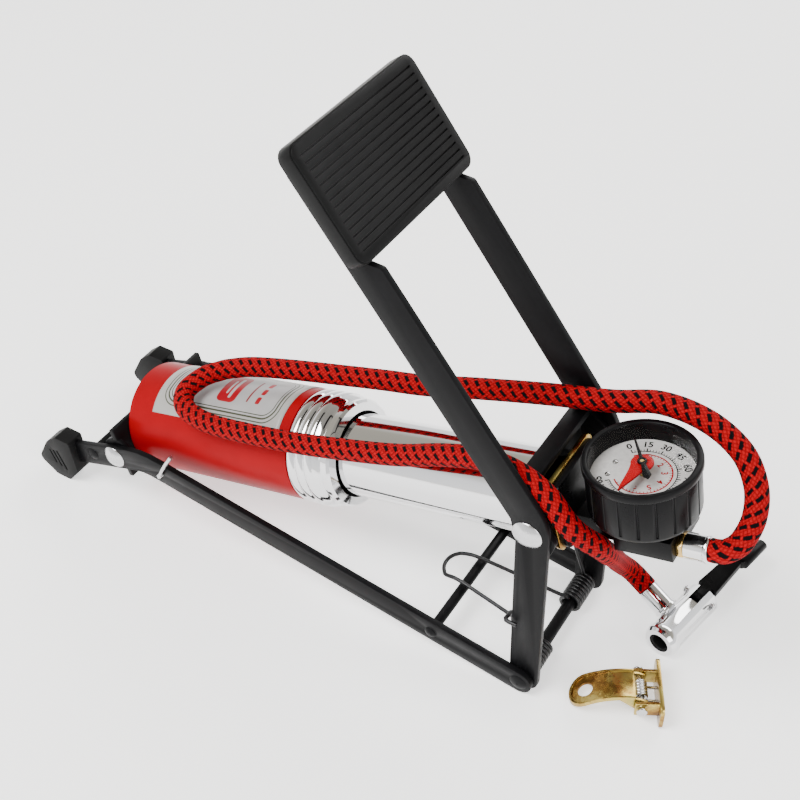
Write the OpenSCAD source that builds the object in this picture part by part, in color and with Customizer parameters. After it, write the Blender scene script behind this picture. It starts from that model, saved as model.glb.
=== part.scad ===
// Foot-operated pump with a pressure gauge. All lengths are in millimetres.
// +X points to the gauge end, +Z is up, and the ground is z = 0. The lever
// axle lies axle_x ahead of the origin, which is under the middle of the pump.

/* [Frame] */
// Height of the two flat side rails
rail_h = 13; // [11:0.5:14]
// Thickness of the side rails and the lever arms
bar_t = 3; // [2:0.5:3]
// Radius of the domed silver rivet heads
dome_r = 7; // [5:0.5:8]

/* [Barrel] */
// Outer diameter of the red barrel
barrel_d = 55; // [50:1:55]
// Wall of the barrel and of the piston tube
wall = 1.5; // [1:0.25:2]
// Outer diameter of the chrome piston tube
tube_d = 39.6; // [34:0.2:39.6]
// Slope of the barrel at rest, in degrees
tilt = 15.3; // [14:0.1:16]

/* [Lever] */
// Slope of the upper lever arm, in degrees from +X
arm_tilt = 127; // [125:1:129]
// Length of the foot pad along the arm
pad_len = 52; // [46:1:54]
// Width of the foot pad
pad_w = 84; // [80:1:88]
// Number of grooves across the foot pad
grooves = 14; // [6:1:14]

/* [Gauge] */
// Outer diameter of the gauge case
gauge_d = 49; // [44:1:52]
// Lean of the gauge toward the pedal, in degrees
gauge_lean = 10; // [6:1:14]

/* [Hose] */
// Outer diameter of the braided hose
hose_d = 10; // [8:0.5:10]

/* [Hidden] */
$fn = 64;
eps = 0.01;
axle_x = 110.98;
axle_z = 7;
rail_y = 36;
arm_y = 32.5;
ear_y = 29.2;
fit_r = 0.05;
port_rise = 26;
clip_reach = 24.4;
pivot = [-236.3, 30.8];
wrist = [-2.5, 103.5];
rear_rod = [-252, 25.2];
mid_rod = [-46.5, 12.6];
hook_hole = [-204, 35.4];
barrel_r = barrel_d / 2;
bore_r = barrel_r - wall;
tube_r = tube_d / 2;
barrel_s = [3.2, 108.9];
tube_s = [95, 246.5];
rail_path = [for (x = [0 : -34 : -204]) [x, 7 - 0.139 * x],
    [-212, 36.2], [-218, 36], [-224, 34.6], [-261, 21.2], [-272, 17.1]];
// Route of the hose: out of the ferrule, round the gauge, back along the
// piston tube, round the bend above the barrel, and forward to the ground.
route_1 = [[65.3, -6, 105.55], [68, -6, 106.3], [71.4, -5, 107.8],
    [75, -1, 111.5], [76, 7, 119], [72, 15, 128], [62, 22, 136],
    [45, 27, 140], [24, 29.6, 138], [4, 26.5, 132], [-26, 24, 124],
    [-57, 21, 115], [-84, 19, 106], [-104, 17, 101.5], [-124, 14, 97.5],
    [-152, 9.5, 92], [-174, 6, 86.6], [-186, 2.2, 82.9],
    [-190.4, 0, 81.2], [-192, -1, 80.5]];
route_2 = [[-193.1, -1.63, 80.03], [-194.4, -2.4, 79.5],
    [-198.5, -6.5, 77.3], [-201.5, -15, 73.8], [-195, -23, 72],
    [-178, -27, 74], [-154, -27, 79], [-126, -26, 86], [-98, -24, 94],
    [-72, -22.5, 103], [-50, -22, 114], [-31, -23, 122.4],
    [-13.3, -26.8, 127.4], [1, -27.4, 121.8], [10.8, -27.7, 111.8],
    [16.4, -24.4, 103.5], [21.9, -18.6, 94.8], [23, -7.1, 78.9],
    [19.5, 10, 57.5], [17.6, 22.5, 40.5], [17.8, 29.8, 30.6],
    [20.2, 33.8, 24.6], [24, 34.6, 21.2], [30.58, 33.21, 17.96]];

function unit(v) = v / norm(v);
function flat(v, t) = unit(v - (v * t) * t);
// Point of the side view at d along a slope of a degrees and n above it
function on_slope(a, d, n) = [d * cos(a) - n * sin(a), d * sin(a) + n * cos(a)];
function arm_pt(d, n) = on_slope(arm_tilt, d, -n);
// Polygon with its corners rounded to the radii r, one per corner
function rounded(p, r, k = 5) = [for (i = [0 : len(p) - 1])
    let (b = p[i], u = unit(p[(i + len(p) - 1) % len(p)] - b),
        v = unit(p[(i + 1) % len(p)] - b), h = acos(u * v) / 2,
        q = is_list(r) ? r[i] : r, c = b + unit(u + v) * q / sin(h),
        s = b + u * q / tan(h) - c, e = b + v * q / tan(h) - c,
        a = atan2(s[1], s[0]),
        t = (atan2(e[1], e[0]) - a + 540) % 360 - 180)
    for (j = [0 : q > 0 ? k : 0])
        q > 0 ? c + q * [cos(a + t * j / k), sin(a + t * j / k)] : b];
function rect(x0, y0, x1, y1) = [[x0, y0], [x1, y0], [x1, y1], [x0, y1]];
// Outline of a strip of width w along a path, with a round first end
function strip(path, w) =
    let (n = len(path),
        t = [for (i = [0 : n - 1])
            unit(path[min(i + 1, n - 1)] - path[max(i - 1, 0)])],
        m = [for (v = t) [-v[1], v[0]]])
    concat([for (i = [0 : n - 1]) path[i] + m[i] * w / 2],
        [for (i = [n - 1 : -1 : 0]) path[i] - m[i] * w / 2],
        [for (a = [15 : 15 : 165])
            path[0] - w / 2 * (m[0] * cos(a) + t[0] * sin(a))]);
// Points of a smooth curve through p, k steps to each span
function curve(p, k) = concat([for (i = [0 : len(p) - 2])
    let (a = p[max(i - 1, 0)], b = p[i], c = p[i + 1],
        d = p[min(i + 2, len(p) - 1)])
    for (j = [0 : k - 1])
        let (t = j / k)
        b + t * ((c - a) / 2 + t * ((2 * a - 5 * b + 4 * c - d) / 2
            + t * (3 * b - 3 * c + d - a) / 2))], [p[len(p) - 1]]);

// Frames: side view to the XZ plane, lever axle, barrel axis, gauge and chuck
module at_axle() {
    translate([axle_x, 0, 0]) children();
}
module slab(y0, y1) {
    translate([0, y1, 0]) rotate([90, 0, 0]) linear_extrude(y1 - y0) children();
}
module pin_y(p, r, y0, y1) {
    translate([p[0], y1, p[1]]) rotate([90, 0, 0]) cylinder(r = r, h = y1 - y0);
}
module both_sides() {
    children();
    mirror([0, 1, 0]) children();
}
module left_side() {
    mirror([0, 1, 0]) children();
}
// In the barrel frame +Z runs along the barrel and +X points up from it
module on_barrel(s = 0) {
    at_axle() translate([pivot[0], 0, pivot[1]]) rotate([0, 90 - tilt, 0])
        mirror([1, 0, 0]) translate([0, 0, s]) children();
}
module gauge_axis(h = 0) {
    at_axle() translate([29, 0, 134]) rotate([0, -gauge_lean, 0])
        translate([0, 0, h]) children();
}
// In the chuck frame +X runs along the chuck toward its mouth
module on_chuck() {
    at_axle() translate([46.3, 13, 8.4]) rotate([0, 0, -102]) children();
}
module turned(p) {
    rotate_extrude($fn = 96) polygon(p);
}
// Domed rivet head on the face y = y0, bulging toward +Y
module dome(p, r, y0, h) {
    translate([p[0], y0, p[1]]) rotate([-90, 0, 0]) intersection() {
        cylinder(r = r, h = h);
        translate([0, 0, h - (r * r + h * h) / (2 * h)])
            sphere(r = (r * r + h * h) / (2 * h), $fn = 96);
    }
}
// Tube swept along the points p, with n sides
module sweep(p, d, n, up = [0, 0, 1]) {
    m = len(p);
    t = [for (i = [0 : m - 1]) unit(p[min(i + 1, m - 1)] - p[max(i - 1, 0)])];
    // A side direction carried along the path without twisting
    side = [for (i = 0, v = flat(up, t[0]); i < m;
        i = i + 1, v = flat(v, t[min(i, m - 1)])) v];
    pts = [for (i = [0 : m - 1])
        let (s = side[i], u = cross(t[i], s))
        for (j = [0 : n - 1])
            p[i] + d / 2 * (s * cos(360 * j / n) + u * sin(360 * j / n))];
    polyhedron(pts, concat([[for (j = [0 : n - 1]) j]],
        [for (i = [0 : m - 2], j = [0 : n - 1])
            [i * n + j, (i + 1) * n + j, (i + 1) * n + (j + 1) % n,
                i * n + (j + 1) % n]],
        [[for (j = [n - 1 : -1 : 0]) (m - 1) * n + j]]), convexity = 10);
}

// ---- Frame on the ground ----
module rail_side() {
    at_axle() difference() {
        slab(-rail_y - bar_t, -rail_y) polygon(strip(rail_path, rail_h));
        pin_y([0, axle_z], 2.5, -rail_y - bar_t - eps, -rail_y + eps);
        pin_y(mid_rod, 2, -rail_y - bar_t - eps, -rail_y + eps);
        pin_y(rear_rod, 2.5, -rail_y - bar_t - eps, -rail_y + eps);
        pin_y(pivot, 3, -rail_y - bar_t - eps, -rail_y + eps);
        pin_y(hook_hole, 1.25, -rail_y - bar_t - eps, -rail_y + eps);
    }
}
module rail_right() {
    color("#1d1d1f") rail_side();
}
module rail_left() {
    color("#1d1d1f") left_side() rail_side();
}
foot_profile = [[-264.5, 29.5], [-262.5, 9], [-270, 0], [-279, 0],
    [-290, 8], [-281.5, 23], [-274, 29.5]];
module rear_foot() {
    at_axle() difference() {
        slab(-43.5, -33.5)
            polygon(rounded(foot_profile, [1, 3, 3, 3, 4, 4, 1.5]));
        slab(-rail_y - bar_t, -rail_y) polygon(strip(rail_path, rail_h));
        // Grip lines on the outer face
        for (i = [0 : 2]) translate([-271 - i * 3.4, -43.6, 7 + i * 1.2])
            rotate([0, -20, 0]) cube([1.2, 0.6, 13 - i * 2]);
    }
}
module rear_foot_right() {
    color("#2a2a2c") rear_foot();
}
module rear_foot_left() {
    color("#2a2a2c") left_side() rear_foot();
}
// A rod between the rails, with turned-down ends riveted over outside them
module cross_rod(p, r, end_r, head_r) {
    at_axle() {
        pin_y(p, r, -rail_y, rail_y);
        pin_y(p, end_r, -rail_y - bar_t, rail_y + bar_t);
        both_sides() dome(p, head_r, rail_y + bar_t, 1.2);
    }
}
module rear_cross_rod() {
    color("#1d1d1f") cross_rod(rear_rod, 3, 2.5, 3.8);
}
module middle_cross_rod() {
    color("#1d1d1f") cross_rod(mid_rod, 2.5, 2, 3.2);
}
module lever_axle() {
    color("#1d1d1f") cross_rod([0, axle_z], 3, 2.5, 4.5);
}
module barrel_pivot_rivets() {
    color("silver") at_axle() both_sides() {
        pin_y(pivot, 3, 32.9, rail_y + bar_t);
        dome(pivot, dome_r - 0.5, rail_y + bar_t, 2.6);
        pin_y(pivot, 4.5, 31.4, 32.9);
    }
}

// ---- Lever with the foot pad ----
module lever_side() {
    p = [[-6.3, 0.3], [-7.8, 105.7], arm_pt(260, 57.4), arm_pt(260, 67.5),
        arm_pt(217, 67.5), arm_pt(212, 73.4), [7, 112.6], [8, 0.3]];
    at_axle() difference() {
        slab(-arm_y - bar_t, -arm_y)
            polygon(rounded(p, [6.6, 12, 2, 2, 2, 2, 26, 6.6]));
        pin_y([0, axle_z], 3 + fit_r, -arm_y - bar_t - eps, -arm_y + eps);
        pin_y(wrist, 3, -arm_y - bar_t - eps, -arm_y + eps);
        // Slot that the spring's end hooks into
        translate([-9, -arm_y - bar_t - eps, 43.6])
            cube([2.6, bar_t + 2 * eps, 2.8]);
    }
}
module lever_arm_right() {
    color("#1d1d1f") lever_side();
}
module lever_arm_left() {
    color("#1d1d1f") left_side() lever_side();
}
// In the pad frame +X runs up the arm, +Y across, and +Z out of the tread
module on_pad() {
    at_axle() translate([arm_pt(216.8, 0)[0], 0, arm_pt(216.8, 0)[1]])
        rotate([0, 180 - arm_tilt, 0]) mirror([1, 0, 0]) children();
}
module pad_slab(inset, z0, z1) {
    w = pad_w / 2 - inset;
    translate([0, 0, z0]) linear_extrude(z1 - z0)
        polygon(rounded(rect(inset, -w, pad_len - inset, w), 5 - inset / 2));
}
module pedal_plate() {
    color("#4a4a4c") on_pad() pad_slab(1.5, 67.5, 69);
}
module pedal_pad() {
    pitch = 3.2;
    first = (pad_len - pitch * (grooves - 1)) / 2;
    color("#202022") on_pad() difference() {
        union() {
            pad_slab(0, 65, 71.8);
            pad_slab(0.7, 71.8, 72.5);
        }
        pad_slab(1.5, 64, 69);
        // Notches for the two lever arms
        both_sides() translate([-1, 32.1, 60]) cube([4.6, 3.8, 8.5]);
        for (i = [0 : grooves - 1])
            translate([first + i * pitch - 0.4, -pad_w / 2 + 4.5, 71.5])
                cube([0.8, pad_w - 9, 2]);
    }
}
module lever_rivets() {
    color("silver") at_axle() both_sides() {
        pin_y(wrist, 3, arm_y, arm_y + bar_t);
        dome(wrist, dome_r, arm_y + bar_t, 2.8);
    }
}
// Double torsion spring: a coil on each end of the axle, a loop over the
// middle rod, and an end hooked round each lever arm
spring_wire = 2;
function coil(y0, y1, turns) = [for (i = [0 : turns * 12])
    let (a = 100 - 30 * i)
    [4.6 * cos(a), y0 + (y1 - y0) * i / (turns * 12), 7 + 4.6 * sin(a)]];
function half_spring(s) = concat(
    [[-3.5, s * 37.2, 45], [-9, s * 37, 45], [-9.3, s * 34, 44.8],
        [-9, s * 30.6, 43], [-7.4, s * 30.8, 30], [-2.2, s * 30.9, 15]],
    [for (q = coil(30.6, 13.4, 8)) [q[0], s * q[1], q[2]]],
    [[-8, s * 12.6, 12.2], [-30, s * 10.5, 15.4], [-45, s * 9, 17.2],
        [-51, s * 8.4, 17.4]]);
module return_spring() {
    right = half_spring(-1);
    left = half_spring(1);
    loop = [for (a = [-60 : 30 : 60]) [-52 - 8.5 * cos(a), 9 * sin(a), 16]];
    color("#232325") at_axle() sweep(concat(right, loop,
        [for (i = [len(left) - 1 : -1 : 0]) left[i]]), spring_wire, 6);
}

// ---- Barrel ----
module rear_yoke() {
    color("#1d1d1f") on_barrel() difference() {
        union() {
            translate([-15, -35.4, 0.5]) cube([30, 70.8, 2.7]);
            both_sides() translate([-9, 33, 0]) cube([18, 2.4, 2]);
            both_sides() translate([0, 35.4, 0]) rotate([90, 0, 0])
                cylinder(r = 9, h = 2.4);
        }
        both_sides() translate([0, 36, 0]) rotate([90, 0, 0])
            cylinder(r = 3 + fit_r, h = 4);
        // Room for the rivets' inner heads
        both_sides() translate([0, 33, 0]) rotate([90, 0, 0])
            cylinder(r = 4.7, h = 2);
    }
}
module barrel_tube() {
    color("#c8102e") on_barrel() turned([[bore_r, barrel_s[0]],
        [barrel_r - 0.6, barrel_s[0]], [barrel_r, barrel_s[0] + 0.6],
        [barrel_r, barrel_s[1]], [bore_r, barrel_s[1]]]);
}
module rear_cap() {
    color("#1d1d1f") on_barrel() turned([[0, barrel_s[0]], [bore_r, barrel_s[0]],
        [bore_r, 7], [bore_r - 4, 7], [bore_r - 5, 5.6], [0, 5.6]]);
}
module front_cap() {
    b = barrel_s[1];
    r = barrel_r + 0.5;
    color("gainsboro") on_barrel() turned(concat(
        [[23, b - 5], [bore_r, b - 5], [bore_r, b], [r - 0.4, b]],
        [for (i = [0 : 2]) for (q = [[0, 0.4], [0, 4.2], [-0.5, 4.7],
            [-0.8, 5.1]]) [r + q[0], b + i * 5.1 + q[1]]],
        [[r - 0.6, b + 15.7], [r - 2, b + 19], [r - 2.6, b + 19.4],
            [r - 2.6, b + 20.6], [r - 2.1, b + 21], [r - 2.1, b + 23],
            [r - 2.6, b + 23.5], [r - 3.2, b + 24.4], [tube_r + 1.2, b + 25.1],
            [tube_r + 1.2, b + 21], [23, b + 21]]));
}
module barrel_label() {
    color("lightgray") on_barrel(20) intersection() {
        difference() {
            cylinder(r = barrel_r + 0.15, h = 83, $fn = 96);
            translate([0, 0, -1]) cylinder(r = barrel_r, h = 85, $fn = 96);
        }
        translate([21, -20, 0]) cube([10, 40, 83]);
    }
}
module guide_bush() {
    color("ivory") on_barrel(barrel_s[1] - 5) turned([[tube_r + fit_r, 0],
        [23, 0], [23, 26], [tube_r + 2.6, 26], [tube_r + 2.6, 22.5],
        [tube_r + fit_r, 22.5]]);
}
module wiper_seal() {
    color("#202022") on_barrel(barrel_s[1] + 17.5) turned([
        [tube_r + fit_r, 0.6], [tube_r + 0.5, 0], [tube_r + 2.6, 0],
        [tube_r + 2.6, 3.5], [tube_r + 0.6, 3.5], [tube_r + fit_r, 2.6]]);
}

// ---- Piston with the bracket and the gauge ----
module piston_tube() {
    color("gainsboro") on_barrel() difference() {
        translate([0, 0, tube_s[0]])
            cylinder(r = tube_r, h = tube_s[1] - tube_s[0], $fn = 96);
        translate([0, 0, tube_s[0] - 1])
            cylinder(r = tube_r - wall, h = tube_s[1] - tube_s[0] + 2, $fn = 96);
    }
}
module piston_head() {
    color("#3a3a3c") on_barrel(91) turned([[5, 0], [25.9, 0], [25.9, 1.6],
        [23.4, 1.6], [23.4, 4.4], [25.9, 4.4], [25.9, 8], [tube_r, 8],
        [tube_r, 4], [5, 4]]);
}
module piston_ring() {
    color("#202022") on_barrel(94) rotate_extrude($fn = 96)
        translate([24.65, 0]) circle(r = 1.25, $fn = 24);
}
module piston_cup() {
    color("#202022") on_barrel(91) turned([[8, 0], [25.9, 0], [25.95, -2.4],
        [25, -2.4], [23.6, -1.2], [8, -1.2]]);
}
module piston_valve() {
    color("#b58a3c") on_barrel(91) turned([[0, -1.6], [7, -1.6], [7, 0], [5, 0],
        [5, 4], [9, 4], [9, 5.6], [3, 7.4], [0, 7.4]]);
}
// Inverted channel between the lever arms, with a web round the piston tube
module front_bracket() {
    w = arm_y - 0.3;
    color("#1d1d1f") on_barrel() difference() {
        union() {
            translate([23.4, -w, 236]) cube([2.6, 2 * w, 9]);
            both_sides() translate([0, w, 0]) rotate([90, 0, 0])
                linear_extrude(w - ear_y) polygon(rounded([[26, 236],
                    [26, 243], [17, 250], [2, 255], [-12, 246], [-12, 236]],
                    [1, 2, 5, 5, 3, 1]));
            translate([-22, -w, 236]) cube([48, 2 * w, 2.5]);
        }
        translate([0, 0, 230]) cylinder(r = tube_r, h = 12, $fn = 96);
        translate([8.35, 40, 244.6]) rotate([90, 0, 0]) cylinder(r = 3.2, h = 80);
    }
}
module end_plate() {
    color("#c9a54a") on_barrel(246.5) difference() {
        linear_extrude(2.5)
            polygon(rounded(rect(-14, -20.5, 21.5, 20.5), 4));
        translate([-6, 0, -1]) cylinder(r = 2.4, h = 5);
    }
}
module outlet_block() {
    color("#26262a") on_barrel(249) difference() {
        union() {
            linear_extrude(3) polygon(rounded(rect(-13, -19, 20.4, 19), 4));
            translate([-11.2, -9, 0]) cube([10, 18, 48]);
            translate([-11.2, -14, 22]) cube([10, 28, 26]);
        }
        // Air way from the tube to the gauge and to the outlet
        translate([-6, 0, -1]) cylinder(r = 2.4, h = 36);
        translate([-6, 0, 31]) rotate([0, 90, 0]) cylinder(r = 2.4, h = 12);
        translate([-6, -10, 34]) rotate([-90, 0, 0]) cylinder(r = 1.6, h = 10);
        translate([-7.5, -6, 30]) cylinder(r = 1.6, h = 20);
        translate([-7.5, -6, 40]) cylinder(r = 3, h = 9);
    }
}
module gauge_case() {
    r = gauge_d / 2;
    color("#17171a") gauge_axis() difference() {
        turned([[0, -26], [r - 3.4, -26], [r - 1.4, -24.6], [r - 0.9, -23],
            [r - 0.9, -2.6], [r - 1.6, -2.6], [r - 1.6, 0], [r - 3, 0],
            [r - 3, -9.2], [0, -9.2]]);
        translate([0, 0, -27]) cylinder(r = 3, h = 4);
        translate([0, 0, -24]) cylinder(r = r - 4, h = 13);
        translate([0, 0, -12]) cylinder(r = 1.6, h = 4);
        // Fluting round the drum
        for (a = [0 : 18 : 342]) rotate([0, 0, a]) translate([r - 0.9, 0, -22.6])
            cylinder(r = 0.5, h = 19.6, $fn = 16);
    }
}
module gauge_bezel() {
    r = gauge_d / 2;
    color("#17171a") gauge_axis() turned([[r - 1.6, -2.6], [r, -2.6], [r, -0.4],
        [r - 0.4, 0.6], [r - 2.4, 0.6], [r - 2.9, 0], [r - 1.6, 0]]);
}
module gauge_dial() {
    color("white") gauge_axis(-9.2) difference() {
        cylinder(r = gauge_d / 2 - 3, h = 0.8, $fn = 96);
        translate([0, 0, -1]) cylinder(r = 1.6, h = 3);
    }
}
module gauge_lens() {
    color([0.85, 0.9, 0.95, 0.35]) gauge_axis(-0.9)
        cylinder(r = gauge_d / 2 - 3, h = 1.2, $fn = 96);
}
module gauge_stem() {
    color("#b58a3c") difference() {
        gauge_axis() {
            translate([0, 0, -34]) cylinder(r = 6, h = 8, $fn = 6);
            translate([0, 0, -26]) cylinder(r = 3, h = 2);
        }
        on_barrel(249) translate([-21.2, -14, 0]) cube([20, 28, 48]);
    }
}
// Spindle of the needle, its fixed sleeve, and the coiled tube that turns it
module gauge_spindle() {
    color("#b58a3c") gauge_axis() {
        translate([0, 0, -21]) cylinder(r = 0.8, h = 19.7);
        translate([0, 0, -21.5]) cylinder(r = 1.5, h = 19.3);
        translate([0, 0, -22]) cylinder(r = 7, h = 1);
        translate([0, 0, -24]) cylinder(r = 2.6, h = 2);
        translate([0, 0, -20]) rotate_extrude(angle = 270, $fn = 64)
            translate([14, 0]) circle(r = 1.8, $fn = 16);
        translate([5, -1.5, -22]) cube([9, 3, 2]);
    }
}
// Black needle, at zero at rest, with its counterweight tail
module gauge_needle() {
    color("#1a1a1a") gauge_axis(-1.85) difference() {
        union() {
            cylinder(r = 2, h = 0.7);
            rotate([0, 0, 126]) linear_extrude(0.7) polygon([[-9, -1.8],
                [-4, -1.2], [0, -0.8], [16.5, -0.35], [16.5, 0.35],
                [0, 0.8], [-4, 1.2], [-9, 1.8], [-11.2, 0]]);
        }
        translate([0, 0, -1]) cylinder(r = 0.8 + fit_r, h = 3);
    }
}
// Red marker, set by hand round the needle's sleeve
module gauge_marker() {
    color("#d01818") gauge_axis(-3.2) difference() {
        union() {
            cylinder(r = 4.7, h = 1.1);
            rotate([0, 0, -97]) linear_extrude(1.1) polygon([[0, -4.6],
                [6, -2.6], [18.3, -0.2], [18.3, 0.2], [6, 2.6], [0, 4.6]]);
        }
        translate([0, 0, -1]) cylinder(r = 1.5 + fit_r, h = 3);
    }
}
module outlet_nut() {
    color("#b58a3c") on_barrel(297) translate([-7.5, -6, 0]) difference() {
        union() {
            cylinder(r = 5.8, h = 3, $fn = 6);
            translate([0, 0, -8]) cylinder(r = 3, h = 8);
        }
        translate([0, 0, -9]) cylinder(r = 1.6, h = 14);
    }
}
module hose_ferrule() {
    color("silver") on_barrel(300) translate([-7.5, -6, 0]) difference() {
        turned([[0, 0], [5.2, 0], [5.6, 0.4], [5.6, 8.6], [5.9, 9], [5.9, 10],
            [5.4, 10.5], [0, 10.5]]);
        translate([0, 0, -1]) cylinder(r = 1.6, h = 9);
    }
}
module hose_run_1() {
    color("#c21f2b") at_axle() sweep(curve(route_1, 2), hose_d, 10);
}
module hose_run_2() {
    color("#c21f2b") at_axle() sweep(curve(route_2, 2), hose_d, 10);
}

// ---- Hook that holds the lever down ----
module lock_hook() {
    h = hook_hole;
    p = [[-0.5, -1.2], [3, 6], [6, 11.5], [10.6, 18.8]];
    color("silver") at_axle() {
        sweep([for (q = p) [h[0] + q[0], -40.6, h[1] + q[1]]], 2, 8,
            [0, 1, 0]);
        pin_y(h, 1.2, -41.4, -34.8);
        pin_y(h, 2.2, -35.8, -34.8);
    }
}

// ---- Chuck on the ground at the hose's end ----
module chuck_body() {
    color("gainsboro") on_chuck() difference() {
        union() {
            rotate([0, 90, 0]) translate([0, 0, -38]) turned([[0, 0],
                [6.6, 0], [8, 1.8], [8, 32.4], [8.4, 33], [8.4, 36],
                [7.4, 38], [0, 38]]);
            on_port() cylinder(r = 4.2, h = 10.6);
        }
        rotate([0, 90, 0]) translate([0, 0, -14]) cylinder(r = 5, h = 15);
        rotate([0, 90, 0]) translate([0, 0, -26]) cylinder(r = 2.2, h = 20);
        on_port() cylinder(r = 2, h = 12);
        // Slot for the thumb lever
        translate([-39, -2.6, -1]) cube([13, 5.2, 10]);
        translate([-33, 10, 3.6]) rotate([90, 0, 0]) cylinder(r = 1.2, h = 20);
    }
}
// In the port frame +Z runs out of the side port toward the hose
module on_port(h = 0) {
    translate([-16.5, 0, 0]) rotate([90 - port_rise, 0, 0])
        translate([0, 0, h]) children();
}
module chuck_seal() {
    color("#202022") on_chuck() rotate([0, 90, 0]) translate([0, 0, -14])
        turned([[3.9, 0], [5, 0], [5, 13], [3.9, 13]]);
}
module chuck_pin() {
    color("silver") on_chuck() {
        translate([-33, 8.4, 3.6]) rotate([90, 0, 0]) cylinder(r = 1.2, h = 16.8);
        both_sides() translate([-33, 8.4, 3.6]) rotate([90, 0, 0])
            cylinder(r = 1.9, h = 0.5);
    }
}
module chuck_lever() {
    color("#202022") on_chuck() difference() {
        union() {
            translate([-33, 2.4, 3.6]) rotate([90, 0, 0]) cylinder(r = 3, h = 4.8);
            translate([-40, -2.4, 3]) cube([7, 4.8, 3.6]);
            translate([0, 0, 2.6]) linear_extrude(4) polygon([[-38.6, -5],
                [-38.6, 5], [-64, 3.6], [-64, -3.6]]);
            // Thumb grip with a rounded ridge along one edge
            translate([0, 0, 2.2]) linear_extrude(4.8)
                polygon(rounded(rect(-79, -4.6, -62, 5), 2));
            translate([-80, 4.2, 5.4]) rotate([0, 90, 0])
                cylinder(r = 2.8, h = 17);
        }
        translate([-33, 3, 3.6]) rotate([90, 0, 0])
            cylinder(r = 1.2 + fit_r, h = 6);
    }
}
module chuck_ferrule() {
    color("silver") on_chuck() on_port(7.4) difference() {
        turned([[4.2, 1], [5.8, 1], [5.8, 2.4], [5.3, 3], [5.3, 13.9],
            [4.8, 14.3], [0, 14.3], [0, 3.2], [4.2, 3.2]]);
        cylinder(r = 2, h = 10);
    }
}

// ---- Spring clip in front of the chuck's mouth ----
// In the clip frame +X runs along the pin and +Y points to the jaw
module on_clip() {
    at_axle() translate([49.6, -15.3, 8]) rotate([0, 0, -61.5]) children();
}
module pin_x(r, x0, x1) {
    translate([x0, 0, 0]) rotate([0, 90, 0]) cylinder(r = r, h = x1 - x0);
}
module clip_jaw() {
    color("#d3b36a") on_clip() difference() {
        union() {
            translate([0, 9.5, 0]) rotate([90, 0, 0]) linear_extrude(1.8)
                polygon(rounded(rect(-15, -8, 15, 6), 3));
            for (x = [-9.6, 8.2]) translate([x, -3, -5]) cube([1.4, 12, 8.5]);
        }
        pin_x(1.5, -20, 20);
    }
}
module clip_pin() {
    color("silver") on_clip() {
        pin_x(1.5, -11, 11);
        pin_x(2.4, -11.8, -11);
        pin_x(2.4, 11, 11.8);
    }
}
module clip_spring() {
    color("silver") on_clip() {
        translate([-3.6, 0, 0]) rotate([0, 90, 0]) rotate_extrude($fn = 48)
            for (i = [0 : 4]) translate([2.6, i * 1.6]) circle(r = 0.9, $fn = 16);
        for (q = [-1, 1]) translate([q * 3.6, 0, -2.6]) rotate([-90, 0, 0])
            cylinder(r = 0.8, h = 7.7, $fn = 24);
    }
}
// Plate bowed about +X, of top radius r, over the width w
module bow(r, w) {
    translate([w / 2, 0, 0]) rotate([90, 0, -90]) linear_extrude(w) difference() {
        translate([10, -30]) circle(r = r, $fn = 180);
        translate([10, -30]) circle(r = 34.6, $fn = 180);
        translate([-60, -80]) square([140, 77]);
        translate([-60, -5]) square([62, 20]);
    }
}
// Outline of the thumb plate, with a round end
module tongue(r) {
    translate([-r, -clip_reach]) square([2 * r, clip_reach - 2]);
    translate([0, -clip_reach]) circle(r = r);
}
module clip_handle() {
    color("#d3b36a") on_clip() rotate([8, 0, 0]) difference() {
        union() {
            intersection() {
                bow(36, 15.6);
                translate([0, 0, -10]) linear_extrude(30) tongue(7.8);
            }
            // Raised rim
            intersection() {
                bow(36.9, 15.6);
                translate([0, 0, -10]) linear_extrude(30) difference() {
                    tongue(7.8);
                    translate([0, 0.1]) tongue(6.6);
                }
            }
            for (x = [-7.8, 6.4]) translate([x, 0, 0]) rotate([90, 0, 90])
                linear_extrude(1.4) polygon([[3, -2.5], [3, 2], [0, 3.6],
                    [-6, 5.4], [-10, 5.4], [-3, -2.5]]);
        }
        pin_x(1.5 + fit_r, -20, 20);
        translate([0, -clip_reach, -8]) cylinder(r = 3.4, h = 24);
    }
}

rail_right();
rail_left();
rear_foot_right();
rear_foot_left();
rear_cross_rod();
middle_cross_rod();
lever_axle();
barrel_pivot_rivets();
lever_arm_right();
lever_arm_left();
pedal_plate();
pedal_pad();
lever_rivets();
return_spring();
rear_yoke();
barrel_tube();
rear_cap();
front_cap();
barrel_label();
guide_bush();
wiper_seal();
piston_tube();
piston_head();
piston_ring();
piston_cup();
piston_valve();
front_bracket();
end_plate();
outlet_block();
gauge_case();
gauge_bezel();
gauge_dial();
gauge_lens();
gauge_stem();
gauge_spindle();
gauge_needle();
gauge_marker();
outlet_nut();
hose_ferrule();
hose_run_1();
hose_run_2();
lock_hook();
chuck_ferrule();
chuck_body();
chuck_seal();
chuck_lever();
chuck_pin();
clip_jaw();
clip_pin();
clip_spring();
clip_handle();
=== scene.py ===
"""Foot pump with a gauge: camera, light, materials and the finished surfaces."""

import bmesh
import bpy
import math
from mathutils import Matrix, Vector


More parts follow.
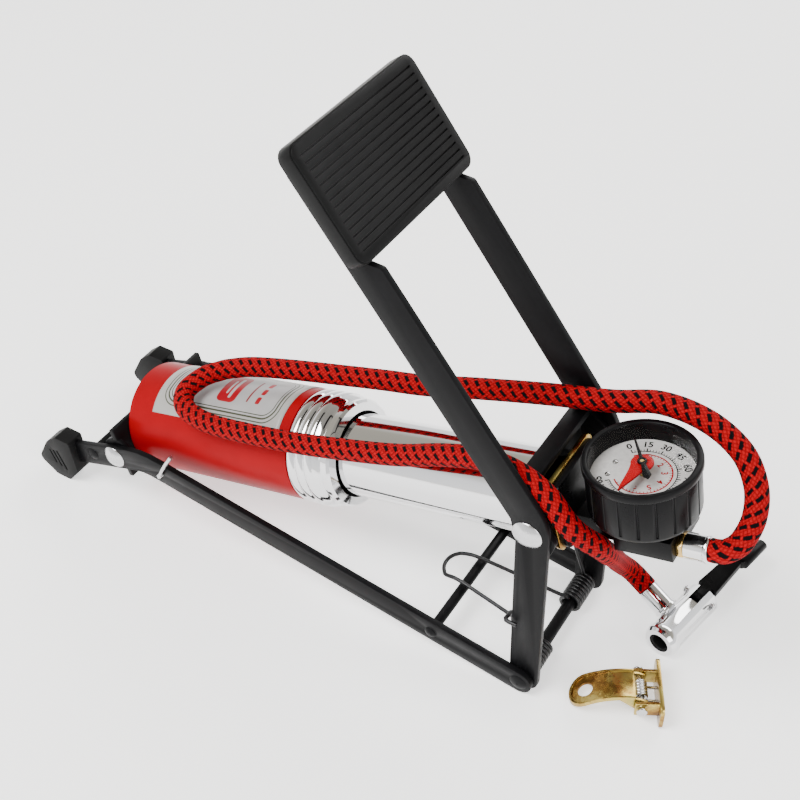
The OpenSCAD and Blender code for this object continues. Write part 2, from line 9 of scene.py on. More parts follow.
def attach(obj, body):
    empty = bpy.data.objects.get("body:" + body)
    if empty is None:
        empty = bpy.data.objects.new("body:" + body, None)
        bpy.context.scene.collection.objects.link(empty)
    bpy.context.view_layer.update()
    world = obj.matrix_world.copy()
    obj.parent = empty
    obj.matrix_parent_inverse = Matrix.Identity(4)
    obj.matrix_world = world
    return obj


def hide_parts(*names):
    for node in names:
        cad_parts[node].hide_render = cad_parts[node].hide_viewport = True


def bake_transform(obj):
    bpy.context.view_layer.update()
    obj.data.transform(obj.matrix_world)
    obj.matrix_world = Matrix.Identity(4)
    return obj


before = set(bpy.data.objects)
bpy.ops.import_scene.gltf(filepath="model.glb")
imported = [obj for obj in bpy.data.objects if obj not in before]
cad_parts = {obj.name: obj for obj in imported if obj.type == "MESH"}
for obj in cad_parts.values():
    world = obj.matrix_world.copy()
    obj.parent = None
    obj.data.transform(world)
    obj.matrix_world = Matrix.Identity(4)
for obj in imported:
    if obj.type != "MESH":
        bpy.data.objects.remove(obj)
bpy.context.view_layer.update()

MM = 0.001
# Place of the lever axle along X, and the barrel's and the gauge's tilt
AXLE_X = 110.98
TILT = math.radians(15.3)
LEAN = math.radians(10)


def at(x, y, z):
    """Point given in millimetres from the lever axle, in the row frame."""
    return Vector(((x + AXLE_X) * MM, y * MM, z * MM))


def frame_matrix(origin, x_axis, z_axis):
    """Matrix whose X and Z point along the given directions."""
    z = Vector(z_axis).normalized()
    x = (Vector(x_axis) - z * z.dot(Vector(x_axis))).normalized()
    m = Matrix((x, z.cross(x), z)).transposed().to_4x4()
    m.translation = origin
    return m


def forward(angle):
    """Direction in the XZ plane that rises by angle from +X."""
    return math.cos(angle), 0, math.sin(angle)


def upward(angle):
    """Direction in the XZ plane square to forward(angle)."""
    return -math.sin(angle), 0, math.cos(angle)


# Local frames, in metres: barrel (+Z along it, +X up) and gauge (+Z out of
# the dial, +X forward)
BARREL = frame_matrix(at(-236.3, 0, 30.8), upward(TILT), forward(TILT))
GAUGE = frame_matrix(at(29, 0, 134), forward(LEAN), upward(LEAN))


# ---- Camera ----
def add_camera():
    """Looks down on the pump from its right front, with a slight roll."""
    pos = at(144.3, -357.0, 506.9)
    fwd = (at(-85.2, 0, 111.5) - pos).normalized()
    right = fwd.cross(Vector((0, 0, 1))).normalized()
    up = right.cross(fwd)
    roll = math.radians(-1.45)
    r = right * math.cos(roll) + up * math.sin(roll)
    u = up * math.cos(roll) - right * math.sin(roll)
    data = bpy.data.cameras.new("camera")
    data.lens = 58.5
    data.sensor_width = 36
    data.clip_start = 0.01
    cam = bpy.data.objects.new("camera", data)
    m = Matrix((r, u, -fwd)).transposed().to_4x4()
    m.translation = pos
    cam.matrix_world = m
    bpy.context.collection.objects.link(cam)
    bpy.context.scene.camera = cam


add_camera()


# ---- Helpers for node materials ----
class Mat:
    """A small builder for a procedural material. A bump's distance is in metres."""

    def __init__(self, name, color, rough=0.5, metal=0.0, **more):
        self.m = bpy.data.materials.new(name)
        self.m.use_nodes = True
        self.t = self.m.node_tree
        self.b = self.t.nodes["Principled BSDF"]
        self.set("Base Color", (*color, 1))
        self.set("Roughness", rough)
        self.set("Metallic", metal)
        for k, v in more.items():
            self.set(k.replace("_", " "), v)

    def set(self, key, value):
        if isinstance(value, bpy.types.NodeSocket):
            self.t.links.new(value, self.b.inputs[key])
        else:
            self.b.inputs[key].default_value = value

    def node(self, kind, **props):
        n = self.t.nodes.new(kind)
        for k, v in props.items():
            setattr(n, k, v)
        return n

    def plug(self, socket, value):
        if isinstance(value, bpy.types.NodeSocket):
            self.t.links.new(value, socket)
        else:
            socket.default_value = value

    def math(self, op, a, b=0.0):
        n = self.node("ShaderNodeMath", operation=op)
        self.plug(n.inputs[0], a)
        self.plug(n.inputs[1], b)
        return n.outputs[0]

    def coord(self, which="Object"):
        return self.node("ShaderNodeTexCoord").outputs[which]

    def uv(self):
        sep = self.node("ShaderNodeSeparateXYZ")
        self.plug(sep.inputs[0], self.coord("UV"))
        return sep.outputs[0], sep.outputs[1]

    def noise(self, scale, detail=3.0, rough=0.6):
        n = self.node("ShaderNodeTexNoise")
        n.inputs["Scale"].default_value = scale
        n.inputs["Detail"].default_value = detail
        n.inputs["Roughness"].default_value = rough
        self.plug(n.inputs["Vector"], self.coord())
        return n.outputs["Fac"]

    def ramp(self, fac, stops):
        n = self.node("ShaderNodeValToRGB")
        e = n.color_ramp.elements
        while len(e) < len(stops):
            e.new(0.5)
        for el, (p, c) in zip(e, stops):
            el.position = p
            el.color = (*c, 1)
        self.plug(n.inputs[0], fac)
        return n.outputs[0]

    def span(self, fac, a0, a1, b0, b1):
        """Turns the range a0 to a1 into b0 to b1."""
        n = self.node("ShaderNodeMapRange")
        self.plug(n.inputs[0], fac)
        for i, v in enumerate((a0, a1, b0, b1)):
            n.inputs[i + 1].default_value = v
        return n.outputs[0]

    def mix(self, fac, a, b):
        n = self.node("ShaderNodeMix", data_type="RGBA")
        self.plug(n.inputs[0], fac)
        for i, v in ((6, a), (7, b)):
            self.plug(n.inputs[i], (*v, 1) if isinstance(v, tuple) else v)
        return n.outputs[2]

    def bump(self, height, strength, distance):
        n = self.node("ShaderNodeBump")
        n.inputs["Strength"].default_value = strength
        n.inputs["Distance"].default_value = distance
        self.plug(n.inputs["Height"], height)
        self.set("Normal", n.outputs[0])


def black_paint():
    k = Mat("black_powder_coat", (0.003, 0.003, 0.0035), 0.36, Specular_IOR_Level=0.09)
    fine = k.noise(2600, 2)
    broad = k.noise(60, 3)
    tone = [(0.3, (0.002, 0.002, 0.0024)), (0.7, (0.004, 0.004, 0.0046))]
    k.set("Base Color", k.ramp(broad, tone))
    k.set("Roughness", k.span(broad, 0.3, 0.7, 0.36, 0.5))
    k.bump(fine, 0.25, 0.00006)
    return k.m


def red_paint():
    k = Mat("red_barrel_paint", (0.25, 0.0, 0.004), 0.34, Specular_IOR_Level=0.05)
    n = k.noise(40, 4)
    k.set("Base Color", k.ramp(n, [(0.3, (0.23, 0.0, 0.003)), (0.7, (0.27, 0.0, 0.004))]))
    k.bump(k.noise(900, 2), 0.08, 0.00005)
    return k.m


def chrome():
    k = Mat("chrome", (0.70, 0.70, 0.71), 0.07, 1.0)
    n = k.noise(35, 4)
    k.set("Roughness", k.span(n, 0.3, 0.7, 0.049, 0.112))
    k.bump(k.noise(220, 2), 0.03, 0.00004)
    return k.m


def steel():
    k = Mat("bright_steel", (0.55, 0.55, 0.56), 0.24, 1.0)
    n = k.noise(400, 3)
    k.set("Roughness", k.span(n, 0.3, 0.7, 0.16, 0.32))
    k.bump(n, 0.06, 0.00005)
    return k.m


def brass():
    k = Mat("turned_brass", (0.80, 0.58, 0.25), 0.22, 1.0)
    n = k.noise(500, 3)
    k.set("Base Color", k.ramp(n, [(0.3, (0.50, 0.31, 0.09)), (0.7, (0.66, 0.46, 0.17))]))
    k.bump(n, 0.08, 0.00005)
    return k.m


def yellow_zinc():
    k = Mat("yellow_zinc", (0.78, 0.62, 0.30), 0.25, 1.0)
    n = k.noise(55, 4, 0.7)
    brown, amber = (0.08, 0.03, 0.01), (0.24, 0.13, 0.03)
    gold, olive = (0.48, 0.36, 0.10), (0.34, 0.33, 0.10)
    k.set("Base Color", k.ramp(n, [(0.30, brown), (0.44, amber), (0.58, gold), (0.75, olive)]))
    k.set("Roughness", k.span(n, 0.3, 0.7, 0.18, 0.34))
    k.bump(k.noise(300, 2), 0.08, 0.00006)
    return k.m


def rubber(name="black_rubber", c=0.0035, rough=0.55):
    k = Mat(name, (c, c, c * 1.05), rough, Specular_IOR_Level=0.1)
    n = k.noise(1500, 3)
    dark, pale = (c * 0.8, c * 0.8, c * 0.85), (c * 1.3, c * 1.3, c * 1.35)
    k.set("Base Color", k.ramp(k.noise(80, 4), [(0.3, dark), (0.7, pale)]))
    k.bump(n, 0.3, 0.00008)
    return k.m


def black_plastic():
    k = Mat("black_plastic", (0.002, 0.002, 0.0024), 0.28, Specular_IOR_Level=0.1)
    n = k.noise(120, 3)
    k.set("Roughness", k.span(n, 0.3, 0.7, 0.24, 0.38))
    k.bump(k.noise(1800, 2), 0.12, 0.00005)
    return k.m


def plain(name, color, rough=0.5, metal=0.0, grain=600, amount=0.1, shine=0.5):
    k = Mat(name, color, rough, metal, Specular_IOR_Level=shine)
    n = k.noise(grain, 3)
    lo = tuple(v * 0.88 for v in color)
    hi = tuple(min(1, v * 1.08) for v in color)
    k.set("Base Color", k.ramp(n, [(0.3, lo), (0.7, hi)]))
    k.bump(n, amount, 0.00005)
    return k.m


def glass():
    """Clear lens, with a gloss that grows where it is seen at a slant."""
    k = Mat("clear_lens", (1, 1, 1), 0.02)
    clear = k.node("ShaderNodeBsdfTransparent")
    gloss = k.node("ShaderNodeBsdfGlossy")
    k.plug(gloss.inputs["Roughness"], k.span(k.noise(60, 2), 0.3, 0.7, 0.02, 0.06))
    facing = k.node("ShaderNodeLayerWeight").outputs["Facing"]
    share = k.math("ADD", k.math("MULTIPLY", k.math("POWER", facing, 4), 0.15), 0.003)
    mix = k.node("ShaderNodeMixShader")
    k.plug(mix.inputs[0], share)
    k.plug(mix.inputs[1], clear.outputs[0])
    k.plug(mix.inputs[2], gloss.outputs[0])
    k.plug(k.t.nodes["Material Output"].inputs["Surface"], mix.outputs[0])
    return k.m


def braid():
    """Red woven cover. UV: U once round the hose, V in metres along it."""
    k = Mat("red_braid", (0.55, 0.02, 0.03), 0.75, Specular_IOR_Level=0.05)
    u, v = k.uv()
    # Black flecks: columns round the hose, every other one half a step on.
    # du and dv are millimetres from the middle of a fleck's cell
    columns, cell_w, cell_h = 8, 4.1, 5.3
    cu = k.math("MULTIPLY", u, columns)
    odd = k.math("MODULO", k.math("FLOOR", cu), 2)
    du = k.math("MULTIPLY", k.math("SUBTRACT", k.math("FRACT", cu), 0.5), cell_w)
    cv = k.math("ADD", k.math("DIVIDE", v, cell_h * MM), k.math("MULTIPLY", odd, 0.5))
    dv = k.math("MULTIPLY", k.math("SUBTRACT", k.math("FRACT", cv), 0.5), cell_h)
    c, s = math.cos(math.radians(40)), math.sin(math.radians(40))
    x = k.math("ADD", k.math("MULTIPLY", du, c), k.math("MULTIPLY", dv, s))
    y = k.math("SUBTRACT", k.math("MULTIPLY", dv, c), k.math("MULTIPLY", du, s))
    wob = k.math("MULTIPLY", k.math("SUBTRACT", k.noise(900, 2), 0.5), 0.9)
    fx = k.span(k.math("ABSOLUTE", k.math("ADD", x, wob)), 1.7, 2.0, 1, 0)
    fy = k.span(k.math("ABSOLUTE", k.math("ADD", y, wob)), 0.7, 1.0, 1, 0)
    fleck = k.math("MULTIPLY", fx, fy)
    # Two families of strands crossing, two strands to a fleck's cell each way. The same weave drives
    # the relief and a painted shade and highlight in the colour
    across = k.math("MULTIPLY", u, 2 * columns)
    along = k.math("DIVIDE", v, cell_h * MM / 2)
    p = k.math("MULTIPLY", k.math("ADD", across, along), math.pi)
    q = k.math("MULTIPLY", k.math("SUBTRACT", across, along), math.pi)
    weave_relief_and_shade = k.math("ABSOLUTE", k.math("MULTIPLY", k.math("SINE", p), k.math("SINE", q)))
    fine = k.noise(2300, 2)
    # Painted shade and highlight: the red darkens in the grooves between strands and lightens on their
    # crowns, and the fine noise adds random tone
    tone = k.math("ADD", k.math("MULTIPLY", weave_relief_and_shade, 0.6), k.math("MULTIPLY", fine, 0.5))
    dark, middle, pale = (0.12, 0.0, 0.001), (0.24, 0.0002, 0.003), (0.35, 0.003, 0.006)
    red = k.ramp(tone, [(0.1, dark), (0.4, middle), (0.85, pale)])
    k.set("Base Color", k.mix(fleck, red, (0.002, 0.0015, 0.002)))
    k.bump(k.math("ADD", weave_relief_and_shade, k.math("MULTIPLY", fine, 0.4)), 0.7, 0.00035)
    return k.m


M = {
    "black_paint": black_paint(),
    "red_paint": red_paint(),
    "chrome": chrome(),
    "steel": steel(),
    "black_rubber": rubber(),
    "pad_rubber": rubber("pad_rubber", 0.0045, 0.4),
    "ivory_plastic": plain("nylon", (0.72, 0.69, 0.60), 0.45),
    "alloy": plain("piston_alloy", (0.55, 0.55, 0.56), 0.3, 1.0),
    "brass": brass(),
    "zinc_yellow": yellow_zinc(),
    "black_plastic": black_plastic(),
    "dial_white": plain("dial_face", (0.50, 0.49, 0.48), 0.42, 0.0, 500, 0.05, 0.1),
    "clear": glass(),
    "needle_red": plain("marker_red", (0.30, 0.0, 0.003), 0.35, shine=0.1),
    "spring_steel": plain("spring_wire", (0.006, 0.006, 0.007), 0.35, 0.3),
    "red_braid": braid(),
    "ink": plain("black_ink", (0.002, 0.002, 0.002), 0.6, shine=0.04),
    "ink_red": plain("red_ink", (0.30, 0.0, 0.004), 0.6, shine=0.04),
}


# ---- Surfaces ----
def sharpen(me, angle=32):
    """Smooth shading, with edges sharper than angle degrees left crisp."""
    me.polygons.foreach_set("use_smooth", [True] * len(me.polygons))
    me.set_sharp_from_angle(angle=math.radians(angle))


def put(name, me, mat, body=None, nodes=()):
    """Adds a mesh as a piece that rides on body and stands for the CAD nodes."""
    ob = bpy.data.objects.new(name, me)
    bpy.context.collection.objects.link(ob)
    me.materials.clear()
    me.materials.append(mat)
    if body:
        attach(ob, body)
    if nodes:
        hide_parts(*nodes)
    return ob


def refine(node, mat, body, bevel):
    """A CAD node's own shape, welded, with its hard edges softened by bevel mm."""
    bm = bmesh.new()
    bm.from_mesh(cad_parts[node].data)
    bmesh.ops.remove_doubles(bm, verts=bm.verts, dist=2e-6)
    bmesh.ops.dissolve_limit(bm, angle_limit=math.radians(0.4), verts=bm.verts, edges=bm.edges)
    if bevel:
        joined = [e for e in bm.edges if len(e.link_faces) == 2]
        hard = [e for e in joined if e.calc_face_angle(0) > math.radians(35)]
        round_off = {"segments": 2, "profile": 0.5, "affect": "EDGES", "clamp_overlap": True}
        bmesh.ops.bevel(bm, geom=hard, offset=bevel * MM, **round_off)
    me = bpy.data.meshes.new(node + "_surface")
    bm.to_mesh(me)
    bm.free()
    sharpen(me, 40)
    put(node + "_surface", me, M[mat], body, [node])


def smooth_path(p, k):
    """Points of a smooth curve through p, with k steps to each span."""
    out = []
    for i in range(len(p) - 1):
        a, b, c, d = p[max(i - 1, 0)], p[i], p[i + 1], p[min(i + 2, len(p) - 1)]
        for j in range(k):
            t = j / k
            square = (a * 2 - b * 5 + c * 4 - d) * 0.5
            cube = (b * 3 - c * 3 + d - a) * (0.5 * t)
            out.append(b + ((c - a) * 0.5 + (square + cube) * t) * t)
    out.append(p[-1])
    return out


def frames(pts, up=(0, 0, 1)):
    """Direction and side vector at each point of a path, carried along without twisting."""
    out, side = [], Vector(up)
    for i in range(len(pts)):
        t = (pts[min(i + 1, len(pts) - 1)] - pts[max(i - 1, 0)]).normalized()
        side = (side - t * side.dot(t)).normalized()
        out.append((t, side))
    return out


def sweep(name, pts, r, sides, up=(0, 0, 1), start=None):
    """Round capped tube along pts. A start gives it UVs: U once round it, V its length from there."""
    verts, along = [], []
    run = start or 0.0
    for i, (p, (t, side)) in enumerate(zip(pts, frames(pts, up))):
        run += (p - pts[i - 1]).length if i else 0
        along.append(run)
        other = t.cross(side)
        for j in range(sides):
            a = 2 * math.pi * j / sides
            verts.append(p + (side * math.cos(a) + other * math.sin(a)) * r)
    faces, uvs = [], []
    for i in range(len(pts) - 1):
        for j in range(sides):
            k = (j + 1) % sides
            faces.append((i * sides + j, i * sides + k, (i + 1) * sides + k, (i + 1) * sides + j))
            u0, u1 = j / sides, (j + 1) / sides
            uvs += [(u0, along[i]), (u1, along[i]), (u1, along[i + 1]), (u0, along[i + 1])]
    n = len(pts) - 1
    faces.append(tuple(range(sides - 1, -1, -1)))
    faces.append(tuple(n * sides + j for j in range(sides)))
    me = bpy.data.meshes.new(name)
    me.from_pydata(verts, [], faces)
    if start is not None:
        layer = me.uv_layers.new(name="UVMap")
        for loop, c in zip(layer.data, uvs + [(0, 0)] * (2 * sides)):
            loop.uv = c
    sharpen(me, 60)
    return me


def revolve(name, profile, n=96, matrix=None):
    """Surface turned about +Z from (radius, height) points in millimetres."""
    verts, faces = [], []
    for r, z in profile:
        for j in range(n):
            a = 2 * math.pi * j / n
            verts.append(Vector((r * math.cos(a), r * math.sin(a), z)) * MM)
    for i in range(len(profile) - 1):
        for j in range(n):
            k = (j + 1) % n
            faces.append((i * n + j, i * n + k, (i + 1) * n + k, (i + 1) * n + j))
    me = bpy.data.meshes.new(name)
    me.from_pydata(verts, [], faces)
    me.validate()
    if matrix:
        me.transform(matrix)
    sharpen(me, 35)
    return me


# ---- Hose ----
# The CAD routes of both runs, in millimetres from the lever axle
HOSE_R = 5 * MM
ROUTE_1 = [
    (65.3, -6, 105.55), (68, -6, 106.3), (71.4, -5, 107.8), (75, -1, 111.5),
    (76, 7, 119), (72, 15, 128), (62, 22, 136), (45, 27, 140), (24, 29.6, 138),
    (4, 26.5, 132), (-26, 24, 124), (-57, 21, 115), (-84, 19, 106), (-104, 17, 101.5),
    (-124, 14, 97.5), (-152, 9.5, 92), (-174, 6, 86.6), (-186, 2.2, 82.9),
    (-190.4, 0, 81.2), (-192, -1, 80.5),
]
ROUTE_2 = [
    (-193.1, -1.63, 80.03), (-194.4, -2.4, 79.5), (-198.5, -6.5, 77.3),
    (-201.5, -15, 73.8), (-195, -23, 72), (-178, -27, 74), (-154, -27, 79),
    (-126, -26, 86), (-98, -24, 94), (-72, -22.5, 103), (-50, -22, 114),
    (-31, -23, 122.4), (-13.3, -26.8, 127.4), (1, -27.4, 121.8),
    (10.8, -27.7, 111.8), (16.4, -24.4, 103.5), (21.9, -18.6, 94.8),
    (23, -7.1, 78.9), (19.5, 10, 57.5), (17.6, 22.5, 40.5), (17.8, 29.8, 30.6),
    (20.2, 33.8, 24.6), (24, 34.6, 21.2), (30.58, 33.21, 17.96),
]


def path_length(p):
    return sum((b - a).length for a, b in zip(p, p[1:]))


def hose(name, pts, node, up, start):
    return put(name, sweep(name, pts, HOSE_R, 48, up, start), M["red_braid"], None, [node])


# The lower run starts where the upper one ends, and carries its braid on
path_1 = smooth_path([at(*p) for p in ROUTE_1], 14)
path_2 = smooth_path([at(*p) for p in [ROUTE_1[-1]] + ROUTE_2[1:]], 14)
run_1 = hose("hose_upper_run", path_1, "hose_run_1", (0, 0, 1), 0.0)
run_2 = hose("hose_lower_run", path_2, "hose_run_2", frames(path_1)[-1][1], path_length(path_1))


# ---- Pieces that keep the CAD shape: node, material, body, bevel in mm ----
for node, mat, body, bevel in [
    ("rail_right", "black_paint", "base", 0.35),
    ("rail_left", "black_paint", "base", 0.35),
    ("rear_foot_right", "black_rubber", "base", 0.7),
    ("rear_foot_left", "black_rubber", "base", 0.7),
    ("rear_cross_rod", "black_paint", "base", 0.2),
    ("middle_cross_rod", "black_paint", "base", 0.2),
    ("lever_axle", "black_paint", "base", 0.2),
    ("barrel_pivot_rivets", "steel", "base", 0.2),
    ("lever_arm_right", "black_paint", "lever", 0.35),
    ("lever_arm_left", "black_paint", "lever", 0.35),
    ("pedal_plate", "black_paint", "lever", 0.2),
    ("pedal_pad", "pad_rubber", "lever", 0.12),
    ("lever_rivets", "steel", "lever", 0.2),
    ("rear_yoke", "black_paint", "barrel", 0.35),
    ("barrel_tube", "red_paint", "barrel", 0.0),
    ("rear_cap", "black_paint", "barrel", 0.2),
    ("guide_bush", "ivory_plastic", "barrel", 0.1),
    ("wiper_seal", "black_rubber", "barrel", 0.1),
    ("piston_tube", "chrome", "piston", 0.0),
    ("piston_head", "alloy", "piston", 0.1),
    ("piston_ring", "black_rubber", "piston", 0.0),
    ("piston_cup", "black_rubber", "piston", 0.0),
    ("piston_valve", "brass", "piston", 0.1),
    ("front_bracket", "black_paint", "piston", 0.5),
    ("end_plate", "zinc_yellow", "piston", 0.3),
    ("outlet_block", "black_plastic", "piston", 0.7),
    ("gauge_case", "black_plastic", "piston", 0.25),
    ("gauge_bezel", "black_plastic", "piston", 0.15),
    ("gauge_dial", "dial_white", "piston", 0.0),
    ("gauge_lens", "clear", "piston", 0.0),
    ("gauge_stem", "brass", "piston", 0.3),
    ("gauge_spindle", "brass", "piston", 0.0),
    ("gauge_needle", "black_plastic", "needle", 0.08),
    ("gauge_marker", "needle_red", "marker", 0.12),
    ("outlet_nut", "brass", "piston", 0.25),
    ("hose_ferrule", "chrome", "piston", 0.15),
    ("chuck_ferrule", "chrome", "base", 0.0),
    ("chuck_body", "chrome", "base", 0.0),
    ("chuck_seal", "black_rubber", "base", 0.1),
    ("chuck_pin", "steel", "base", 0.1),
    ("chuck_lever", "black_plastic", "chuck_thumb", 0.5),
    ("clip_jaw", "zinc_yellow", "base", 0.25),
    ("clip_pin", "steel", "base", 0.1),
    ("clip_spring", "steel", "base", 0.0),
    ("clip_handle", "zinc_yellow", "clip_thumb", 0.2),
    ("lock_hook", "steel", "hook", 0.0),
]:
    refine(node, mat, body, bevel)


# ---- Chrome cap with three rolled ribs ----
def cap_profile():
    """Closed (radius, height) section of the cap, in millimetres."""
    r, base, bore, seat, tube = 28, 108.9, 26, 23, 21
    pitch, width, depth, steps = 5.1, 4.7, 0.9, 8
    ribs = []
    for i in range(3):
        for j in range(steps + 1):
            swell = math.sqrt(math.sin(math.pi * j / steps)) if 0 < j < steps else 0
            ribs.append((r - depth + depth * swell, base + 0.4 + i * pitch + width * j / steps))
    lip = [(-0.6, 15.7), (-1.1, 17.4), (-2.0, 19.0), (-2.6, 19.4), (-2.6, 20.6)]
    lip += [(-2.1, 21), (-2.1, 23), (-2.6, 23.5), (-3.2, 24.4)]
    inner = [(seat, base + 21), (seat, base - 5), (bore, base - 5), (bore, base)]
    end = [(tube, base + 25.1), (tube, base + 21), (seat, base + 21)]
    return inner + ribs + [(r + q, base + h) for q, h in lip] + end


cap = revolve("front_cap_surface", cap_profile(), 128, BARREL)
put("front_cap_surface", cap, M["chrome"], "barrel", ["front_cap"])


# ---- Barrel label ----
def label_print():
    """Silver label. UV: U in metres round the barrel, V in metres along it, from its middle."""
    k = Mat("label_print", (0.5, 0.49, 0.49), 0.34, Specular_IOR_Level=0.35)
    x, y = [k.math("MULTIPLY", c, 1 / MM) for c in k.uv()]

    def beyond(c, middle, reach):
        far = k.math("ABSOLUTE", k.math("SUBTRACT", c, middle))
        return k.math("MAXIMUM", k.math("SUBTRACT", far, reach), 0)

    def away(w, h, r, cx=0.0, cy=0.0):
        """Distance outside a rounded rectangle of half sizes w and h."""
        a, b = beyond(x, cx, w - r), beyond(y, cy, h - r)
        corner = k.math("SQRT", k.math("ADD", k.math("MULTIPLY", a, a), k.math("MULTIPLY", b, b)))
        return k.math("SUBTRACT", corner, r)

    def line(d, width):
        return k.span(k.math("ABSOLUTE", d), width * 0.5, width * 0.5 + 0.12, 1, 0)

    def solid(d):
        return k.span(d, -0.1, 0.1, 1, 0)

    black, red, pale = (0.03, 0.03, 0.03), (0.28, 0.001, 0.008), (0.34, 0.335, 0.33)
    paper = k.ramp(k.noise(35, 3), [(0.3, (0.26, 0.26, 0.26)), (0.7, (0.36, 0.355, 0.355))])
    tone = k.mix(solid(away(15.5, 35.5, 7)), (0.31, 0.305, 0.29), paper)
    for size, width in (((17.2, 37.2, 8.5), 0.5), ((15.2, 35.2, 7), 0.8), ((13.6, 33.6, 6), 0.4)):
        tone = k.mix(line(away(*size), width), tone, (0.035, 0.04, 0.02))
    # Wheel picture
    for r, ink in ((7.5, black), (4.6, (0.33, 0.325, 0.325)), (1.4, black)):
        tone = k.mix(solid(away(r, r, r, 0, -22)), tone, ink)
    # Red block with two pale bars, a thin rule and three short red bars
    tone = k.mix(solid(away(10, 6, 3, 0, 2)), tone, red)
    tone = k.mix(solid(away(7.5, 0.9, 0.9, 0, 3.4)), tone, pale)
    tone = k.mix(solid(away(5.0, 0.6, 0.6, 0, 0.6)), tone, pale)
    for cx in (-6, 0, 6):
        tone = k.mix(solid(away(2.2, 1.3, 0.8, cx, 22)), tone, red)
    tone = k.mix(solid(away(8, 0.5, 0.4, 0, 15.5)), tone, (0.18, 0.01, 0.015))
    k.set("Base Color", tone)
    k.bump(k.noise(500, 2), 0.05, 0.00004)
    return k.m


def label():
    """Curved sheet on the top of the barrel."""
    na, ns, r = 40, 30, 27.72 * MM
    half_w, cad_r, first, length = 20, 27.65, 20, 83
    half = math.asin(half_w / cad_r)
    verts, faces, uvs = [], [], []
    for i in range(ns + 1):
        for j in range(na + 1):
            a = half * (2 * j / na - 1)
            s = first + length * i / ns
            verts.append(BARREL @ Vector((r * math.cos(a), r * math.sin(a), s * MM)))
            uvs.append((r * a, (s - first - length / 2) * MM))
    for i in range(ns):
        for j in range(na):
            k = i * (na + 1) + j
            faces.append((k, k + 1, k + na + 2, k + na + 1))
    me = bpy.data.meshes.new("label_sheet")
    me.from_pydata(verts, [], faces)
    layer = me.uv_layers.new(name="UVMap")
    for loop in me.loops:
        layer.data[loop.index].uv = uvs[loop.vertex_index]
    sharpen(me)
    ob = put("label_sheet", me, label_print(), "barrel", ["barrel_label"])
    thick = ob.modifiers.new("thickness", "SOLIDIFY")
    thick.thickness = 0.12 * MM


label()


# ---- Dial print ----
# Height of the print in the gauge's frame, in millimetres, and angle of the
# zero mark. The scales turn clockwise from it through SWEEP degrees
DIAL_H = -8.34
ZERO = 132
SWEEP = 275


def polar(r, a):
    return Vector((r * math.cos(math.radians(a)), r * math.sin(math.radians(a)), DIAL_H))


def band(bm, r0, r1, a0, a1, steps):
    """Flat ring sector, between two radii and two angles."""
    rows = []
    for i in range(steps + 1):
        a = a0 + (a1 - a0) * i / steps
        rows.append((bm.verts.new(polar(r0, a)), bm.verts.new(polar(r1, a))))
    for (p, q), (v, w) in zip(rows, rows[1:]):
        bm.faces.new((p, q, w, v))


def tick(bm, r0, r1, a, width):
    d = math.degrees(width / 2 / r0)
    band(bm, r0, r1, a - d, a + d, 1)


def numeral(bm, value, r, a, size):
    """A number's outline, its foot toward the middle of the dial."""
    curve = bpy.data.curves.new("numeral", "FONT")
    curve.body = str(value)
    curve.size = size
    curve.offset = 0.11
    curve.align_x, curve.align_y = "CENTER", "CENTER"
    ob = bpy.data.objects.new("numeral", curve)
    bpy.context.collection.objects.link(ob)
    bpy.context.view_layer.update()
    me = bpy.data.meshes.new_from_object(ob.evaluated_get(bpy.context.evaluated_depsgraph_get()))
    me.transform(Matrix.Translation(polar(r, a)) @ Matrix.Rotation(math.radians(a - 90), 4, "Z"))
    bm.from_mesh(me)
    bpy.data.objects.remove(ob)
    bpy.data.curves.remove(curve)
    bpy.data.meshes.remove(me)


def dial_print():
    """Outer black scale by fifteens and inner red scale by ones, as flat meshes."""
    black, red = bmesh.new(), bmesh.new()
    for i in range(12):
        numeral(black, 15 * i, 17.9, ZERO - SWEEP * i / 11, 4.5)
    for i in range(56):
        outer, width = (14.9, 0.3) if i % 5 else (15.6, 0.5)
        tick(black, 13.7, outer, ZERO - SWEEP * i / 55, width)
    band(black, 13.5, 13.9, ZERO - SWEEP, ZERO, 110)
    for i in range(1, 8):
        numeral(red, i, 8.4, ZERO - 36.5 * i, 3.8)
    for i in range(37):
        tick(red, 10.7 if i % 5 else 10.2, 11.7, ZERO - 7.3 * i, 0.3)
    band(red, 11.5, 12.1, ZERO - SWEEP, ZERO, 110)
    for bm, mat, name in ((black, "ink", "dial_black_print"), (red, "ink_red", "dial_red_print")):
        me = bpy.data.meshes.new(name)
        bm.to_mesh(me)
        bm.free()
        me.transform(GAUGE @ Matrix.Scale(MM, 4))
        put(name, me, M[mat], "piston")
    for a, r in ((169, 13.6), (-158, 14.2)):
        dome = [(0.01, 0.5), (0.7, 0.48), (1.1, 0.3), (1.25, 0)]
        m = GAUGE @ Matrix.Translation(polar(r, a) * MM)
        put("dial_stud_%d" % r, revolve("dial_stud", dome, 24, m), M["steel"], "piston")


dial_print()


# ---- Return spring ----
def spring_half(s):
    """Wire on side s (-1 right, 1 left): hook on the arm, leg, coils on the axle, way to the loop."""
    pts = [(-3.5, s * 37.2, 45), (-9, s * 37, 45), (-9.3, s * 34, 44.8)]
    pts += [(-9, s * 30.6, 43), (-7.4, s * 30.8, 30), (-2.2, s * 30.9, 15)]
    turns, steps, coil_r, axle_z = 8, 24, 4.6, 7
    for i in range(turns * steps + 1):
        a = math.radians(100 - 360 * i / steps)
        y = s * (30.6 - 17.2 * i / (turns * steps))
        pts.append((coil_r * math.cos(a), y, axle_z + coil_r * math.sin(a)))
    return pts + [(-8, s * 12.6, 12.2), (-30, s * 10.5, 15.4), (-45, s * 9, 17.2), (-51, s * 8.4, 17.4)]


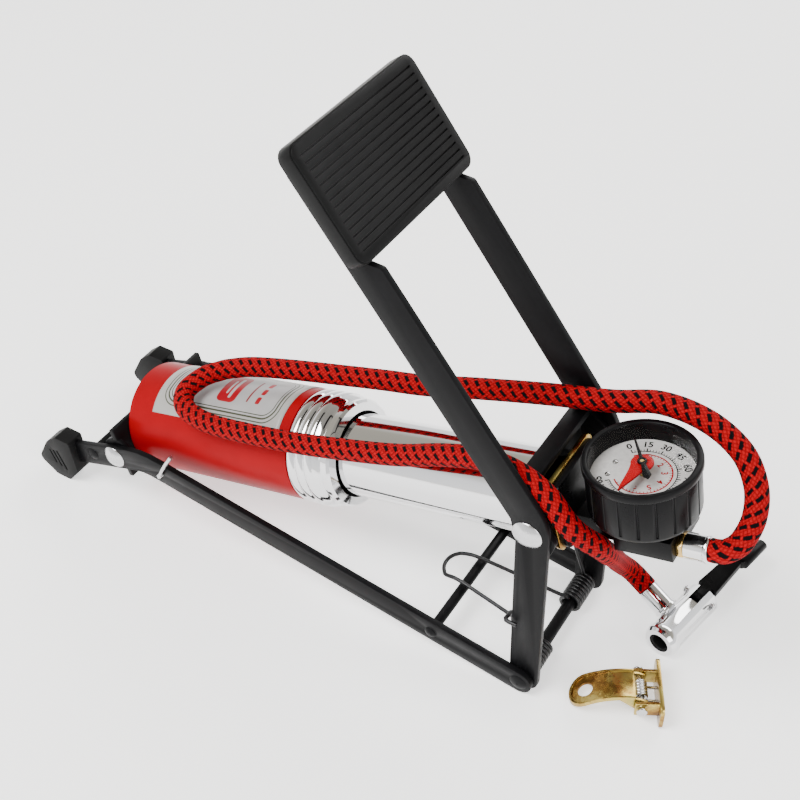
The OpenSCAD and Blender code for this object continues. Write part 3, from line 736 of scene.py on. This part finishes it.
def spring_wire():
    """Both halves, joined by a loop that rests on the middle cross rod."""
    loop = []
    for a in range(-60, 61, 15):
        t = math.radians(a)
        loop.append((-52 - 8.5 * math.cos(t), 9 * math.sin(t), 16))
    path = smooth_path([at(*p) for p in spring_half(-1) + loop + spring_half(1)[::-1]], 3)
    return sweep("return_spring_wire", path, 1 * MM, 12)


spring = put("return_spring_wire", spring_wire(), M["spring_steel"], None, ["return_spring"])


# ---- Stage ----
FLOOR_GLOW = 0.9
FLOOR_REACH = 6


def floor():
    """Pale ground with a faint glow of its own."""
    me = bpy.data.meshes.new("floor")
    s = FLOOR_REACH
    me.from_pydata([(-s, -s, 0), (s, -s, 0), (s, s, 0), (-s, s, 0)], [], [(0, 1, 2, 3)])
    k = Mat("floor_white", (0.9, 0.9, 0.9), 0.9, Specular_IOR_Level=0.1)
    k.set("Emission Color", (1, 1, 1, 1))
    k.set("Emission Strength", FLOOR_GLOW)
    me.materials.append(k.m)
    ob = bpy.data.objects.new("floor", me)
    bpy.context.collection.objects.link(ob)


def light(name, pos, aim, size, power):
    """Soft rectangular lamp at pos that faces aim."""
    data = bpy.data.lights.new(name, "AREA")
    data.shape = "RECTANGLE"
    data.size, data.size_y = size
    data.energy = power
    ob = bpy.data.objects.new(name, data)
    ob.location = Vector(pos)
    ob.rotation_mode = "QUATERNION"
    ob.rotation_quaternion = (Vector(aim) - Vector(pos)).to_track_quat("-Z", "Y")
    bpy.context.collection.objects.link(ob)


def sky():
    """White round the horizon, dimmer and warmer overhead, so that the chrome has contrast."""
    world = bpy.data.worlds.new("studio")
    world.use_nodes = True
    t = world.node_tree
    back = t.nodes["Background"]
    back.inputs[1].default_value = 1.8
    sep = t.nodes.new("ShaderNodeSeparateXYZ")
    ramp = t.nodes.new("ShaderNodeValToRGB")
    t.links.new(t.nodes.new("ShaderNodeTexCoord").outputs["Generated"], sep.inputs[0])
    t.links.new(sep.outputs[2], ramp.inputs[0])
    t.links.new(ramp.outputs[0], back.inputs[0])
    stops = [(0.0, (0.95, 0.95, 0.95)), (0.3, (0.85, 0.85, 0.86))]
    stops += [(0.55, (0.34, 0.32, 0.27)), (1.0, (0.22, 0.21, 0.19))]
    e = ramp.color_ramp.elements
    while len(e) < len(stops):
        e.new(0.5)
    for el, (p, c) in zip(e, stops):
        el.position = p
        el.color = (*c, 1)
    bpy.context.scene.world = world


floor()
light("key", (-0.5, -0.7, 1.4), (0, 0, 0.08), (0.9, 0.9), 40)
light("fill", (1.2, -0.6, 0.9), (0, 0, 0.08), (0.8, 0.8), 11)
light("back", (0.1, 1.3, 1.0), (0, 0, 0.1), (1.4, 0.5), 17)
sky()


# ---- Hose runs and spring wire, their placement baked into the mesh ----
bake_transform(run_1)
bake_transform(run_2)
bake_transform(spring)
